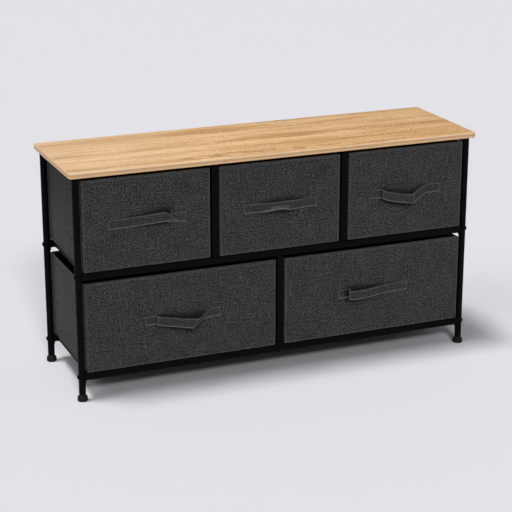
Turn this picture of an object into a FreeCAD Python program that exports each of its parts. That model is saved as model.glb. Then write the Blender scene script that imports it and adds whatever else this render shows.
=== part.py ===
"""Fabric drawer dresser: a bolted steel tube frame, an oak-look top board and five cloth drawers.

Millimetres, +Z up, the front faces -Y. The solids are placed about the middle of the top board, and
are then set back together so that the origin is on the floor in the middle of the whole footprint.
"""
import FreeCAD, Part
import math
import os

V = FreeCAD.Vector
ALONG_X = V(1, 0, 0)
ALONG_Z = V(0, 0, 1)

# Top board
BOARD_WIDTH = 1000.0
BOARD_DEPTH = 300.0
BOARD_THICKNESS = 12.0
BOARD_CORNER = 9.0
BOARD_EASE = 1.2
HEIGHT = 535.0

# Round corner posts
POST_DIAMETER = 16.0
POST_WALL = 1.2
POST_INSET_X = 18.0
POST_INSET_Y = 19.0

# Square shelf tubes, which are also the dividers
RAIL = 16.0
RAIL_WALL = 1.2
RAIL_CORNER = 1.6
LEG_CLEARANCE = 50.0
CROSSBAR_INSET = 10.0

# Lighter square bars under the board
TOP_BAR = 14.0
TOP_BAR_CORNER = 1.4

# Curved saddle plates between the rails and the posts
SADDLE_THICKNESS = 1.5
SADDLE_HEIGHT = 30.0
SADDLE_HALF_ANGLE = 52.0

# Bolts, screws and the threaded plugs in the tube ends
FASTENER_SIDES = 12
BOLT_DIAMETER = 5.0
BOLT_HEAD_DIAMETER = 10.5
BOLT_HEAD_HEIGHT = 2.8
BOLT_HEAD_BEVEL = 1.4
RAIL_BOLT_REACH = 14.0
PLUG_LENGTH = 18.0
PLUG_RECESS = 2.0
SCREW_DIAMETER = 4.0
SCREW_HEAD_DIAMETER = 8.0
SCREW_HEAD_HEIGHT = 2.4
SCREW_HEAD_BEVEL = 1.0
SCREW_BITE = 8.0
SCREW_FROM_BAR_END = 45.0

# Screw-in feet and their sockets in the post ends
FOOT_DIAMETER = 24.0
FOOT_SOLE_DIAMETER = 19.0
FOOT_NECK_DIAMETER = 14.4
FOOT_HEIGHT = 14.0
FOOT_RIM_HEIGHT = 2.5
FOOT_SHOULDER = 1.0
FOOT_SIDES = 20
STUD_DIAMETER = 8.0
STUD_LENGTH = 20.0
SOCKET_FLANGE_DIAMETER = 14.6
SOCKET_FLANGE_HEIGHT = 3.0
SOCKET_LENGTH = 26.0

# Drawers
UPPER_DRAWERS = ("upper_left", "upper_middle", "upper_right")
LOWER_DRAWERS = ("lower_left", "lower_right")
DRAWER_SIDE_GAP = 3.5
FRONT_TOP_GAP = 9.5
FRONT_BOTTOM_GAP = 1.0
FRONT_RECESS = 1.0
FRONT_THICKNESS = 7.0
FRONT_CORNER = 2.0
FRONT_EASE = 1.2
BIN_WALL = 2.5
BIN_FLOOR = 2.0
BIN_CORNER = 6.0
BIN_RIM_DROP = 8.0
BIN_REAR_INSET = 3.0
BASE_THICKNESS = 3.0
BASE_GAP = 1.0

# Strap handles: where along the free span each one bows furthest, how far out, and how far it sags there
STRAP_LENGTH = 181.0
STRAP_WIDTH = 22.0
STRAP_THICKNESS = 2.0
STRAP_TAB = 25.0
STRAP_STATIONS = 15
STRAP_FORMS = {
    "upper_left": (0.74, 15.0, -8.0),
    "upper_middle": (0.50, 14.0, 1.0),
    "upper_right": (0.60, 18.0, 11.0),
    "lower_left": (0.62, 18.0, 11.0),
    "lower_right": (0.30, 17.0, 3.0),
}

# Clearances: between fixed pieces, round bolts, and between pieces that move against each other
SEAT = 0.05
BOLT_CLEARANCE = 0.25
RUNNING = 0.3

# Levels and places that follow from the sizes above
BOARD_UNDERSIDE = HEIGHT - BOARD_THICKNESS
LOWER_RAIL_TOP = LEG_CLEARANCE + RAIL
COMPARTMENT = (BOARD_UNDERSIDE - LOWER_RAIL_TOP - RAIL) / 2
MIDDLE_RAIL_BOTTOM = LOWER_RAIL_TOP + COMPARTMENT
MIDDLE_RAIL_TOP = MIDDLE_RAIL_BOTTOM + RAIL
POST_X = BOARD_WIDTH / 2 - POST_INSET_X
POST_Y = BOARD_DEPTH / 2 - POST_INSET_Y
POST_RADIUS = POST_DIAMETER / 2
POST_BOTTOM = FOOT_HEIGHT + RUNNING + SOCKET_FLANGE_HEIGHT
INNER_X = POST_X - POST_RADIUS
SADDLE_RADIUS = POST_RADIUS + SEAT + SADDLE_THICKNESS
RAIL_INNER_Y = POST_Y - RAIL / 2
FRONT_Y = -POST_Y - POST_RADIUS + FRONT_RECESS
BIN_REAR_Y = BOARD_DEPTH / 2 - BIN_REAR_INSET
STRAP_REACH = STRAP_THICKNESS + max(bow for peak, bow, sag in STRAP_FORMS.values())
FOOTPRINT_SHIFT = (STRAP_REACH - FRONT_Y - BOARD_DEPTH / 2) / 2

SIDES = {"left": -1, "right": 1}
ENDS = {"front": -1, "rear": 1}
SHELVES = {"lower": LEG_CLEARANCE + RAIL / 2, "middle": MIDDLE_RAIL_BOTTOM + RAIL / 2}

nodes = {}


def openings(count):
    """The left and right limits of each of count equal drawer openings, with a divider between them."""
    width = (2 * INNER_X - (count - 1) * RAIL) / count
    starts = [-INNER_X + i * (width + RAIL) for i in range(count)]
    return [(start, start + width) for start in starts]


UPPER_OPENINGS = openings(len(UPPER_DRAWERS))
LOWER_OPENINGS = openings(len(LOWER_DRAWERS))
UPPER_DIVIDER_X = {"left": UPPER_OPENINGS[0][1] + RAIL / 2, "right": UPPER_OPENINGS[1][1] + RAIL / 2}
LOWER_DIVIDER_X = LOWER_OPENINGS[0][1] + RAIL / 2


def rounded_rectangle(width, depth, radius):
    """A face in the XY plane, centred, with four round corners."""
    x, y = width / 2, depth / 2
    bend = radius * (1 - math.sqrt(0.5))
    edges = []
    for sx, sy in ((1, 1), (-1, 1), (-1, -1), (1, -1)):
        along_side = V(sx * x, sy * (y - radius), 0)
        along_end = V(sx * (x - radius), sy * y, 0)
        ends = (along_side, along_end) if sx * sy > 0 else (along_end, along_side)
        middle = V(sx * (x - bend), sy * (y - bend), 0)
        if edges:
            edges.append(Part.makeLine(edges[-1].Vertexes[-1].Point, ends[0]))
        edges.append(Part.Arc(ends[0], middle, ends[1]).toShape())
    edges.append(Part.makeLine(edges[-1].Vertexes[-1].Point, edges[0].Vertexes[0].Point))
    return Part.Face(Part.Wire(edges))


def bevelled_rectangle(width, depth, bevel):
    """A face in the XY plane, centred, with four corners cut off."""
    x, y = width / 2, depth / 2
    corners = []
    for sx, sy in ((1, 1), (-1, 1), (-1, -1), (1, -1)):
        pair = [V(sx * x, sy * (y - bevel), 0), V(sx * (x - bevel), sy * y, 0)]
        corners += pair if sx * sy > 0 else pair[::-1]
    return Part.Face(Part.makePolygon(corners + corners[:1]))


def turned(shape, start, direction):
    """The shape, built up from the origin along +Z, moved to start and turned to the direction."""
    shape.Placement = FreeCAD.Placement(start, FreeCAD.Rotation(ALONG_Z, direction))
    return shape


def square_tube(start, end, size, corner):
    """A hollow square tube from start to end, along one of the axes."""
    bore = size - 2 * RAIL_WALL
    section = bevelled_rectangle(size, size, corner)
    section = section.cut(Part.makePlane(bore, bore, V(-bore / 2, -bore / 2, 0)))
    run = end - start
    return turned(section.extrude(V(0, 0, run.Length)), start, run).Solids[0]


def punched(diameter, start, end):
    """The cutter for square punched holes that clear a bolt or screw on its way from start to end."""
    run = end - start
    side = diameter + 2 * BOLT_CLEARANCE
    return turned(Part.makeBox(side, side, run.Length, V(-side / 2, -side / 2, 0)), start, run)


def post_core(x, y, radius):
    """An upright cylinder on a post's axis, to cope what meets the post."""
    return Part.makeCylinder(radius, HEIGHT, V(x, y, 0))


def spun(outline, sides, hollow=False):
    """A turned piece with flat sides, from the radius and height of each corner of its outline.

    The outline runs from one flat end to the other, or all the way round the wall of a hollow piece.
    """
    turns = [2 * math.pi * i / sides for i in range(sides + 1)]
    rings = [[V(r * math.cos(a), r * math.sin(a), z) for a in turns] for r, z in outline]
    steps = list(zip(rings, rings[1:] + rings[:1])) if hollow else list(zip(rings, rings[1:]))
    faces = [] if hollow else [Part.Face(Part.makePolygon(ring)) for ring in (rings[0], rings[-1])]
    for low, high in steps:
        for i in range(sides):
            faces.append(Part.Face(Part.makePolygon([low[i], low[i + 1], high[i + 1], high[i], low[i]])))
    solid = Part.Solid(Part.Shell(faces))
    return solid if solid.Volume > 0 else solid.reversed()


def clearance_hole(diameter, depth):
    """The cutter for a close hole up from the XY plane that takes a fastener of that diameter."""
    radius = diameter / 2 / math.cos(math.pi / FASTENER_SIDES) + SEAT
    return spun([(radius, -SEAT), (radius, depth + SEAT)], FASTENER_SIDES)


def fastener(diameter, head_diameter, head_height, head_bevel, length):
    """A bolt or screw with a bevelled head on the XY plane and its shank below."""
    head, shank = head_diameter / 2, diameter / 2
    return spun([(head - head_bevel, head_height), (head, head_height - head_bevel), (head, 0), (shank, 0),
                 (shank, -length)], FASTENER_SIDES)


def add_board():
    """The top board, with its edges eased and pilot holes for the screws from below."""
    board = rounded_rectangle(BOARD_WIDTH, BOARD_DEPTH, BOARD_CORNER).extrude(V(0, 0, BOARD_THICKNESS))
    flat = [e for e in board.Edges if abs(e.BoundBox.ZLength) < SEAT]
    board = board.makeChamfer(BOARD_EASE, flat)
    board.translate(V(0, 0, BOARD_UNDERSIDE))
    pilots = []
    for x, y in board_screw_places():
        pilots.append(clearance_hole(SCREW_DIAMETER, SCREW_BITE).translated(V(x, y, BOARD_UNDERSIDE)))
    nodes["top_board"] = [board.cut(pilots)]


def top_bar_places():
    """The X of each bar under the board: one between the posts at each end, one on each divider."""
    places = {f"{side}_top_bar": sign * POST_X for side, sign in SIDES.items()}
    places.update({f"{side}_divider_top_bar": x for side, x in UPPER_DIVIDER_X.items()})
    return places


def board_screw_places():
    """Two screws in every bar under the board."""
    y = RAIL_INNER_Y - SCREW_FROM_BAR_END
    return [(x, end * y) for x in top_bar_places().values() for end in ENDS.values()]


def add_top_bars():
    """The bars that carry the board, punched for its screws; those at the ends are coped to the posts."""
    for name, x in top_bar_places().items():
        z = BOARD_UNDERSIDE - TOP_BAR / 2
        at_end = abs(x) == POST_X
        y = POST_Y if at_end else RAIL_INNER_Y
        bar = square_tube(V(x, -y, z), V(x, y, z), TOP_BAR, TOP_BAR_CORNER)
        cuts = []
        if at_end:
            cuts += [post_core(x, end * POST_Y, POST_RADIUS + SEAT) for end in ENDS.values()]
        for screw_x, screw_y in board_screw_places():
            if screw_x == x:
                cuts.append(punched(SCREW_DIAMETER, V(x, screw_y, z - TOP_BAR), V(x, screw_y, z + TOP_BAR)))
        nodes[name] = bar.cut(cuts).Solids


def add_board_screws():
    """Pan-head screws, from under the bars up into the board."""
    screws = []
    for x, y in board_screw_places():
        under = V(x, y, BOARD_UNDERSIDE - TOP_BAR - SEAT)
        screw = fastener(SCREW_DIAMETER, SCREW_HEAD_DIAMETER, SCREW_HEAD_HEIGHT, SCREW_HEAD_BEVEL,
                         SCREW_BITE + TOP_BAR + SEAT)
        screws.append(turned(screw, under, -ALONG_Z))
    nodes["board_screws"] = screws


def add_posts():
    """Round posts from the foot sockets to the board, punched across for the rail bolts."""
    for end, end_sign in ENDS.items():
        for side, side_sign in SIDES.items():
            x, y = side_sign * POST_X, end_sign * POST_Y
            tall = BOARD_UNDERSIDE - POST_BOTTOM
            post = Part.makeCylinder(POST_RADIUS, tall, V(x, y, POST_BOTTOM))
            bore = Part.makeCylinder(POST_RADIUS - POST_WALL, tall, V(x, y, POST_BOTTOM))
            holes = [punched(BOLT_DIAMETER, V(x - POST_DIAMETER, y, z), V(x + POST_DIAMETER, y, z))
                     for z in SHELVES.values()]
            nodes[f"{end}_{side}_post"] = post.cut([bore] + holes).Solids


def divider_feet():
    """Where each divider stands: its X, the end that it is at, and the shelf that carries it."""
    feet = [(x, end, "middle") for x in UPPER_DIVIDER_X.values() for end in ENDS.values()]
    return feet + [(LOWER_DIVIDER_X, end, "lower") for end in ENDS.values()]


def add_rails():
    """The front and rear rails of both shelves, coped to the saddles and punched for divider bolts."""
    for shelf, z in SHELVES.items():
        for end, sign in ENDS.items():
            y = sign * POST_Y
            rail = square_tube(V(-POST_X, y, z), V(POST_X, y, z), RAIL, RAIL_CORNER)
            cuts = [post_core(side * POST_X, y, SADDLE_RADIUS + SEAT) for side in SIDES.values()]
            for x, foot_end, foot_shelf in divider_feet():
                if foot_end == sign and foot_shelf == shelf:
                    cuts.append(punched(BOLT_DIAMETER, V(x, y, z - RAIL), V(x, y, z + RAIL)))
            nodes[f"{shelf}_{end}_rail"] = rail.cut(cuts).Solids


def add_crossbars():
    """The bars that the drawers run on, two to a drawer, butted between the rails of each shelf."""
    for shelf, spaces in (("middle", UPPER_OPENINGS), ("lower", LOWER_OPENINGS)):
        z = SHELVES[shelf]
        inset = CROSSBAR_INSET + RAIL / 2
        places = [x for left, right in spaces for x in (left + inset, right - inset)]
        for number, x in enumerate(places, 1):
            bar = square_tube(V(x, -RAIL_INNER_Y, z), V(x, RAIL_INNER_Y, z), RAIL, RAIL_CORNER)
            nodes[f"{shelf}_crossbar_{number}"] = [bar]


def add_dividers():
    """Upright tubes between the drawers, front and rear."""
    for end, sign in ENDS.items():
        y = sign * POST_Y
        for side, x in UPPER_DIVIDER_X.items():
            nodes[f"{side}_divider_{end}"] = [
                square_tube(V(x, y, MIDDLE_RAIL_TOP), V(x, y, BOARD_UNDERSIDE), RAIL, RAIL_CORNER)]
        nodes[f"lower_divider_{end}"] = [
            square_tube(V(LOWER_DIVIDER_X, y, LOWER_RAIL_TOP), V(LOWER_DIVIDER_X, y, MIDDLE_RAIL_BOTTOM),
                        RAIL, RAIL_CORNER)]


def add_saddles():
    """Curved plates on the rail ends, which sit round the inner side of the posts."""
    saddles = []
    for side in SIDES.values():
        for end in ENDS.values():
            for z in SHELVES.values():
                x, y = side * POST_X, end * POST_Y
                start = V(x, y, z - SADDLE_HEIGHT / 2)
                sweep = 2 * SADDLE_HALF_ANGLE
                outer = Part.makeCylinder(SADDLE_RADIUS, SADDLE_HEIGHT, start, ALONG_Z, sweep)
                middle = 180 if side > 0 else 0
                outer.rotate(start, ALONG_Z, middle - SADDLE_HALF_ANGLE)
                core = post_core(x, y, POST_RADIUS + SEAT)
                slot = punched(BOLT_DIAMETER, V(x, y, z), V(x - side * POST_DIAMETER, y, z))
                saddles += outer.cut([core, slot]).Solids
    nodes["rail_saddles"] = saddles


def plug(start, direction):
    """A square threaded plug in a tube end, a little way in from start."""
    size = RAIL - 2 * RAIL_WALL - 2 * SEAT
    block = Part.makeBox(size, size, PLUG_LENGTH, V(-size / 2, -size / 2, 0))
    thread = clearance_hole(BOLT_DIAMETER, PLUG_LENGTH)
    return turned(block.cut(thread), start + direction * PLUG_RECESS, direction)


def add_plugs():
    """Threaded plugs in the ends of the rails and in the lower ends of the dividers."""
    plugs = []
    for side in SIDES.values():
        for end in ENDS.values():
            for z in SHELVES.values():
                inward = ALONG_X * -side
                plugs.append(plug(V(side * (POST_X - SADDLE_RADIUS), end * POST_Y, z), inward))
    for x, end, shelf in divider_feet():
        plugs.append(plug(V(x, end * POST_Y, SHELVES[shelf] + RAIL / 2), ALONG_Z))
    nodes["threaded_plugs"] = plugs


def add_bolts():
    """Button-head bolts: through the posts into the rails, and up through the rails into the dividers."""
    head = (BOLT_DIAMETER, BOLT_HEAD_DIAMETER, BOLT_HEAD_HEIGHT, BOLT_HEAD_BEVEL)
    rail_bolts = []
    for side in SIDES.values():
        for end in ENDS.values():
            for z in SHELVES.values():
                length = POST_RADIUS + SADDLE_RADIUS + PLUG_RECESS + RAIL_BOLT_REACH
                seat = V(side * (POST_X + POST_RADIUS + SEAT), end * POST_Y, z)
                rail_bolts.append(turned(fastener(*head, length), seat, ALONG_X * side))
    nodes["rail_bolts"] = rail_bolts
    divider_bolts = []
    for x, end, shelf in divider_feet():
        under = V(x, end * POST_Y, SHELVES[shelf] - RAIL / 2 - SEAT)
        length = RAIL + PLUG_RECESS + RAIL_BOLT_REACH
        divider_bolts.append(turned(fastener(*head, length), under, -ALONG_Z))
    nodes["divider_bolts"] = divider_bolts


def add_feet():
    """Threaded sockets in the post ends, and the domed feet that screw up into them."""
    sole, rim = FOOT_SOLE_DIAMETER / 2, FOOT_DIAMETER / 2
    neck, stud = FOOT_NECK_DIAMETER / 2, STUD_DIAMETER / 2
    rim_bottom = rim - sole
    rim_top = rim_bottom + FOOT_RIM_HEIGHT
    top = FOOT_HEIGHT + STUD_LENGTH
    shoulder = (rim + neck) / 2 + FOOT_SHOULDER, (rim_top + FOOT_HEIGHT) / 2 + FOOT_SHOULDER
    foot = spun([(sole, 0), (rim, rim_bottom), (rim, rim_top), shoulder, (neck, FOOT_HEIGHT),
                 (stud, FOOT_HEIGHT), (stud, top)], FOOT_SIDES)
    thread, flange, stem = stud + RUNNING, SOCKET_FLANGE_DIAMETER / 2, POST_RADIUS - POST_WALL - SEAT
    low = FOOT_HEIGHT + RUNNING
    socket = spun([(thread, low), (flange, low), (flange, POST_BOTTOM), (stem, POST_BOTTOM),
                   (stem, low + SOCKET_LENGTH), (thread, low + SOCKET_LENGTH)], FOOT_SIDES, hollow=True)
    sockets = []
    for end, end_sign in ENDS.items():
        for side, side_sign in SIDES.items():
            place = V(side_sign * POST_X, end_sign * POST_Y, 0)
            nodes[f"{end}_{side}_foot"] = [foot.translated(place)]
            sockets.append(socket.translated(place))
    nodes["foot_sockets"] = sockets


def strap(peak, bow, sag):
    """A strap sewn down at both ends on the plane Y = 0, bowed out and sagging between its tabs."""
    span = STRAP_LENGTH - 2 * STRAP_TAB
    skew = math.log(0.5) / math.log(peak)
    half_thick, half_wide = STRAP_THICKNESS / 2, STRAP_WIDTH / 2

    def lift(x):
        along = min(max(x / span + 0.5, 0.0), 1.0)
        return math.sin(math.pi * along ** skew) ** 2

    step = span / (STRAP_STATIONS - 1)
    free = [-span / 2 + i * step for i in range(STRAP_STATIONS)]
    stations = [-STRAP_LENGTH / 2] + free + [STRAP_LENGTH / 2]
    sections = []
    for x in stations:
        centre = V(x, -half_thick - bow * lift(x), -sag * lift(x))
        slope = bow * (lift(x + step / 4) - lift(x - step / 4)) / (step / 2)
        across = V(slope, 1, 0).normalize() * half_thick
        edge = ALONG_Z * half_wide
        sections.append([centre - across - edge, centre + across - edge, centre + across + edge,
                         centre - across + edge])
    outlines = [section + section[:1] for section in (sections[0], sections[-1])]
    for near, far in zip(sections, sections[1:]):
        for i in range(4):
            j = (i + 1) % 4
            outlines.append([near[i], near[j], far[j], near[i]])
            outlines.append([near[i], far[j], far[i], near[i]])
    solid = Part.Solid(Part.Shell([Part.Face(Part.makePolygon(outline)) for outline in outlines]))
    return solid if solid.Volume > 0 else solid.reversed()


def add_drawer(name, left, right, bottom, top):
    """A cloth bin with a stiff wrapped front, a loose base board and a strap handle."""
    x0, x1 = left + DRAWER_SIDE_GAP, right - DRAWER_SIDE_GAP
    middle, width = (x0 + x1) / 2, x1 - x0
    front_bottom = bottom + FRONT_BOTTOM_GAP
    front_height = top - front_bottom
    front = bevelled_rectangle(width, front_height, FRONT_CORNER).extrude(V(0, 0, FRONT_THICKNESS))
    rim = [e for e in front.Edges if abs(e.BoundBox.ZMin - FRONT_THICKNESS) < SEAT]
    front = front.makeChamfer(FRONT_EASE, rim)
    front.rotate(V(0, 0, 0), ALONG_X, 90)
    front.translate(V(middle, FRONT_Y + FRONT_THICKNESS, front_bottom + front_height / 2))
    nodes[f"{name}_drawer_front"] = [front]

    bin_front = FRONT_Y + FRONT_THICKNESS
    depth = BIN_REAR_Y - bin_front
    bin_bottom = bottom + RUNNING
    bin_height = top - BIN_RIM_DROP - bin_bottom
    inner_corner = BIN_CORNER - BIN_WALL
    inner_width, inner_depth = width - 2 * BIN_WALL, depth - 2 * BIN_WALL
    inside = bevelled_rectangle(inner_width, inner_depth, inner_corner).extrude(V(0, 0, bin_height))
    inside.translate(V(0, 0, BIN_FLOOR))
    body = bevelled_rectangle(width, depth, BIN_CORNER).extrude(V(0, 0, bin_height)).cut(inside)
    bin_middle = V(middle, bin_front + depth / 2, bin_bottom)
    nodes[f"{name}_drawer_bin"] = [body.translated(bin_middle)]

    base = bevelled_rectangle(inner_width - 2 * BASE_GAP, inner_depth - 2 * BASE_GAP, inner_corner)
    base = base.extrude(V(0, 0, BASE_THICKNESS))
    nodes[f"{name}_drawer_base"] = [base.translated(bin_middle + ALONG_Z * (BIN_FLOOR + SEAT))]

    handle = strap(*STRAP_FORMS[name])
    nodes[f"{name}_drawer_handle"] = [handle.translated(V(middle, FRONT_Y, front_bottom + front_height / 2))]


def save_nodes():
    """Sets the whole model back to the middle of its footprint and writes one file per node."""
    os.makedirs("parts", exist_ok=True)
    for name, solids in nodes.items():
        placed = [solid.translated(V(0, FOOTPRINT_SHIFT, 0)) for solid in solids]
        shape = placed[0] if len(placed) == 1 else Part.makeCompound(placed)
        shape.exportStep(f"parts/{name}.step")
    print(len(nodes), "nodes, set back by", FOOTPRINT_SHIFT)


add_board()
add_top_bars()
add_board_screws()
add_posts()
add_rails()
add_crossbars()
add_dividers()
add_saddles()
add_plugs()
add_bolts()
add_feet()
for drawer, (left_limit, right_limit) in zip(UPPER_DRAWERS, UPPER_OPENINGS):
    add_drawer(drawer, left_limit, right_limit, MIDDLE_RAIL_TOP, BOARD_UNDERSIDE - FRONT_TOP_GAP)
for drawer, (left_limit, right_limit) in zip(LOWER_DRAWERS, LOWER_OPENINGS):
    add_drawer(drawer, left_limit, right_limit, LOWER_RAIL_TOP, MIDDLE_RAIL_BOTTOM - FRONT_TOP_GAP)
save_nodes()
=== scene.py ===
"""Looks of a fabric drawer dresser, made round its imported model: metres, +Z up, the front faces -Y."""

import bisect
import math

import bmesh
import bpy
from mathutils import Matrix, Vector, noise


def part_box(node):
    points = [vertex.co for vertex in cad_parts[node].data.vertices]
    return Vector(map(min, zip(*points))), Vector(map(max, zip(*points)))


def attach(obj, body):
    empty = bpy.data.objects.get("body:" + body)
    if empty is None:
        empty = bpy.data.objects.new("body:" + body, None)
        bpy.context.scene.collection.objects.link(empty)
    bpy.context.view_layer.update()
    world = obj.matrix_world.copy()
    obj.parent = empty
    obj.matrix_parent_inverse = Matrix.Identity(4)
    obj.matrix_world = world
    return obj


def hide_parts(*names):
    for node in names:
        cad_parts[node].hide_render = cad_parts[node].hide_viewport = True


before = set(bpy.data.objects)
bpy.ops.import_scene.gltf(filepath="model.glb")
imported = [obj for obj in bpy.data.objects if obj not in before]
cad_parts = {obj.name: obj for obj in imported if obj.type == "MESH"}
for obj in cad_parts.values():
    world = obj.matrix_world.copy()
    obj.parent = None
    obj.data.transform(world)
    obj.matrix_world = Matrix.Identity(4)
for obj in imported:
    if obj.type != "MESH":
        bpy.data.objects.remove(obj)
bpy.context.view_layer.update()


# Screw-in feet
# Each post stands on a domed foot, moulded in black plastic in one piece with its threaded stud.
# Turning a foot screws its stud out of the socket above it, which levels the dresser.
MM = 0.001
FOOT_SOLE = 9.5 * MM
FOOT_RIM = 12.0 * MM
FOOT_NECK = 7.2 * MM
FOOT_RIM_LOW = 2.5 * MM
FOOT_RIM_HIGH = 5.0 * MM
FOOT_HEIGHT = 14.0 * MM
FOOT_SIDES = 48
STUD_RADIUS = 4.0 * MM
STUD_PITCH = 2.0 * MM
STUD_DEPTH = 0.6 * MM
RINGS_PER_PITCH = 6
FOOT_ARC_STEPS = 8
CORNERS = [f"{end}_{side}" for end in ("front", "rear") for side in ("left", "right")]
PLASTIC_DARK = (0.0035, 0.0035, 0.0036)
PLASTIC_SCUFFED = (0.008, 0.008, 0.0085)


class Value:
    """A node's output, for Python expressions: each operator adds a Math node."""

    def __init__(self, nodes, socket):
        self.nodes = nodes
        self.socket = socket

    def math(self, operation, *others):
        return self.nodes.add("ShaderNodeMath", dict(enumerate((self, *others))), operation=operation)

    def __add__(self, other):
        return self.math("ADD", other)

    def __sub__(self, other):
        return self.math("SUBTRACT", other)

    def __rsub__(self, other):
        return self.math("MULTIPLY_ADD", -1.0, other)

    def __mul__(self, other):
        return self.math("MULTIPLY", other)

    def __truediv__(self, other):
        return self.math("DIVIDE", other)

    def __mod__(self, other):
        return self.math("FLOORED_MODULO", other)

    __radd__ = __add__
    __rmul__ = __mul__


class Nodes:
    """A node tree, with one method that adds a node to it."""

    def __init__(self, tree):
        self.tree = tree

    def add(self, kind, sockets=None, out=0, stops=None, **settings):
        node = self.tree.nodes.new(kind)
        for name, value in settings.items():
            setattr(node, name, value)
        for spot, colour in stops or ():
            ramp = node.color_ramp.elements
            stop = {0.0: ramp[0], 1.0: ramp[-1]}.get(spot) or ramp.new(spot)
            stop.color = (*colour, 1.0)
        self.join(node, sockets or {})
        return Value(self, node.outputs[out])

    def join(self, node, sockets):
        for key, value in sockets.items():
            if isinstance(value, Value):
                self.tree.links.new(value.socket, node.inputs[key])
            else:
                node.inputs[key].default_value = value


class Finish(Nodes):
    """A material with one Principled shader; what is the same all over is set on the shader itself."""

    def __init__(self, name, plain):
        self.material = bpy.data.materials.new(name)
        self.material.use_nodes = True
        super().__init__(self.material.node_tree)
        self.shader = self.tree.nodes["Principled BSDF"]
        self.join(self.shader, plain)

    def place(self):
        return self.add("ShaderNodeTexCoord", out="Object")

    def stretched(self, vector, x, y, z):
        return self.add("ShaderNodeVectorMath", {0: vector, 1: (x, y, z)}, operation="MULTIPLY")

    def noise(self, vector, scale=1.0, detail=2.0):
        return self.add("ShaderNodeTexNoise", {"Vector": vector, "Scale": scale, "Detail": detail})

    def between(self, value, low, high):
        return self.add("ShaderNodeMapRange", {"Value": value, "From Min": low, "From Max": high})

    def mix(self, factor, first, second):
        first, second = (c if isinstance(c, Value) else (*c, 1.0) for c in (first, second))
        return self.add("ShaderNodeMix", {0: factor, 6: first, 7: second}, out=2, data_type="RGBA")

    def shade(self, colour, roughness, height, depth):
        bump = self.add("ShaderNodeBump", {"Height": height, "Distance": depth})
        self.join(self.shader, {"Base Color": colour, "Roughness": roughness, "Normal": bump})


def clouded(name, plain, dark, pale, cloud, rough, grain, depth):
    """A finish that is clouded between two tones, with a roughness that the cloud adds to and a fine grain.

    The cloud and the grain are so many marks to the metre, with so much finer detail.
    """
    finish = Finish(name, plain)
    clouds = finish.noise(finish.place(), *cloud)
    finish.shade(finish.mix(clouds, dark, pale), rough[0] + rough[1] * clouds,
                 finish.noise(finish.place(), *grain), depth)
    return finish


def turned(outline, sides):
    """Rings of points for a turned piece, from the radius and height of each corner of its outline."""
    turns = [2 * math.pi * i / sides for i in range(sides)]
    return [[Vector((r * math.cos(a), r * math.sin(a), z)) for a in turns] for r, z in outline]


def threaded(radius, low, high, pitch, depth, sides):
    """Rings of points for a screw thread between two heights."""
    count = round((high - low) / pitch * RINGS_PER_PITCH)
    rings = []
    for step in range(count + 1):
        z = low + (high - low) * step / count
        ring = []
        for i in range(sides):
            turn = i / sides
            r = radius - depth * abs(2 * ((z / pitch - turn) % 1) - 1)
            ring.append(Vector((r * math.cos(2 * math.pi * turn), r * math.sin(2 * math.pi * turn), z)))
        rings.append(ring)
    return rings


def skin(rings, loop=False, across=None, along=None):
    """Points, faces and cloth coordinates of a surface through rings of points.

    A loop joins the last ring to the first; otherwise a flat face closes each end.
    """
    count = len(rings[0])
    across = across or range(count + 1)
    along = along or range(len(rings) + 1)
    points = [p for ring in rings for p in ring]
    faces, cut = [], []
    for a in range(len(rings) if loop else len(rings) - 1):
        b = (a + 1) % len(rings)
        for i in range(count):
            j = (i + 1) % count
            faces.append((a * count + i, a * count + j, b * count + j, b * count + i))
            low, high = along[a], along[a + 1]
            cut += [(across[i], low), (across[i + 1], low), (across[i + 1], high), (across[i], high)]
    if not loop:
        for start in (0, len(points) - count):
            faces.append(tuple(range(start, start + count)))
            cut += [(p[0], p[1]) for p in points[start:start + count]]
    return points, faces, cut


def shaped(name, points, faces, cut=None, crease=40):
    """A smooth mesh with outward faces, creased at sharp edges; cut is its cloth coordinates in metres."""
    mesh = bpy.data.meshes.new(name)
    mesh.from_pydata(points, [], faces)
    if cut:
        layer = mesh.uv_layers.new(name="Cut")
        layer.data.foreach_set("uv", [x for pair in cut for x in pair])
    shape = bmesh.new()
    shape.from_mesh(mesh)
    bmesh.ops.remove_doubles(shape, verts=shape.verts, dist=0.001 * MM)
    bmesh.ops.recalc_face_normals(shape, faces=shape.faces)
    shape.to_mesh(mesh)
    shape.free()
    mesh.shade_smooth()
    mesh.set_sharp_from_angle(angle=math.radians(crease))
    return mesh


def add_piece(name, mesh, finish, body, slot, *nodes):
    """Links a finished mesh as a piece that rides on a body and stands for the given nodes."""
    piece = bpy.data.objects.new(name, mesh)
    bpy.context.scene.collection.objects.link(piece)
    if not mesh.materials:
        mesh.materials.append(finish.material)
    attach(piece, body)
    if nodes:
        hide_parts(*nodes)
    return piece


plastic = clouded("moulded_black_plastic", {"Specular IOR Level": 0.18}, PLASTIC_DARK, PLASTIC_SCUFFED,
                  cloud=(70.0, 4.0), rough=(0.34, 0.3), grain=(2200.0, 2.0), depth=0.06 * MM)

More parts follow.
